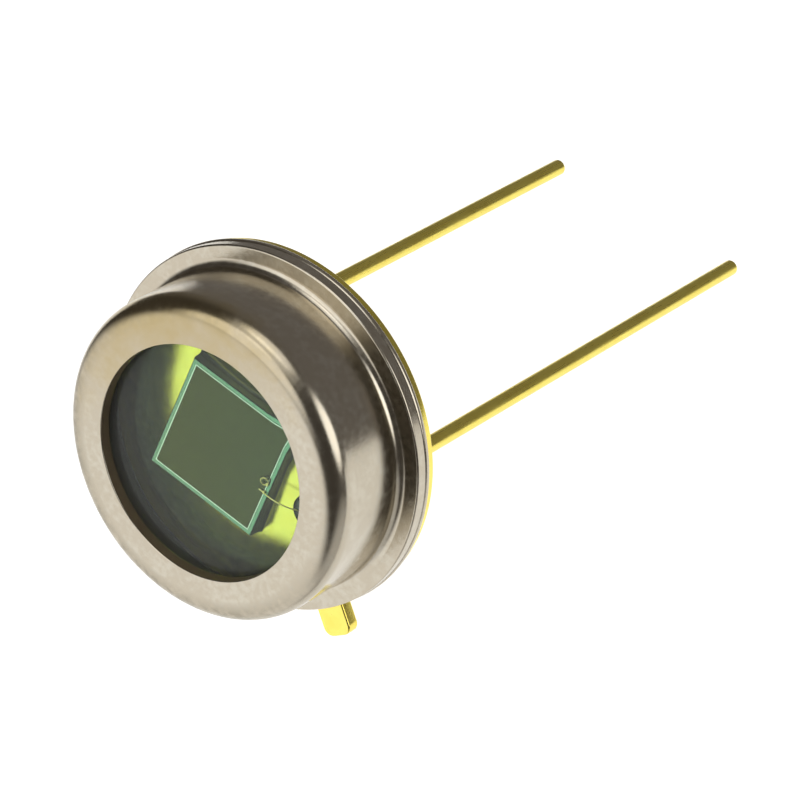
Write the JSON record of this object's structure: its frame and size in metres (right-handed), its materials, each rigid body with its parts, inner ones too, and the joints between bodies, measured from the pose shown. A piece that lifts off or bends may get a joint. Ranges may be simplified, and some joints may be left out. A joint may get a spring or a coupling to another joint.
{
  "type": "photodiode",
  "caption": "Light sensor in a low round metal can: silicon chip behind a flat green filter-glass window, gold-plated header with a locating tab, and straight wire leads.",
  "frame": {"origin": "centre of the seating plane, on the header's underside", "axes": "+Z along the optical axis, out of the window; the leads run along -Z, with the cathode lead at +X and the anode lead at -X"},
  "size_m": [0.0092, 0.0092, 0.0202],
  "materials": {
    "cap_nickel": "satin",
    "filter_glass": "gloss",
    "seal_glass": "satin",
    "header_gold": "satin",
    "bead_glass": "gloss",
    "lead_gold": "satin",
    "die_solder": "satin",
    "chip_silicon": "gloss",
    "contact_metal": "satin",
    "wire_gold": "gloss"
  },
  "bodies": {
    "root": {"cap": "cap_nickel", "window": "filter_glass", "window_seal": "seal_glass", "header": "header_gold", "glass_bead": "bead_glass", "anode_lead": "lead_gold", "cathode_lead": "lead_gold", "die_attach": "die_solder", "chip": "chip_silicon", "contact_frame": "contact_metal", "bond_wire": "wire_gold"}
  },
  "joints": []
}
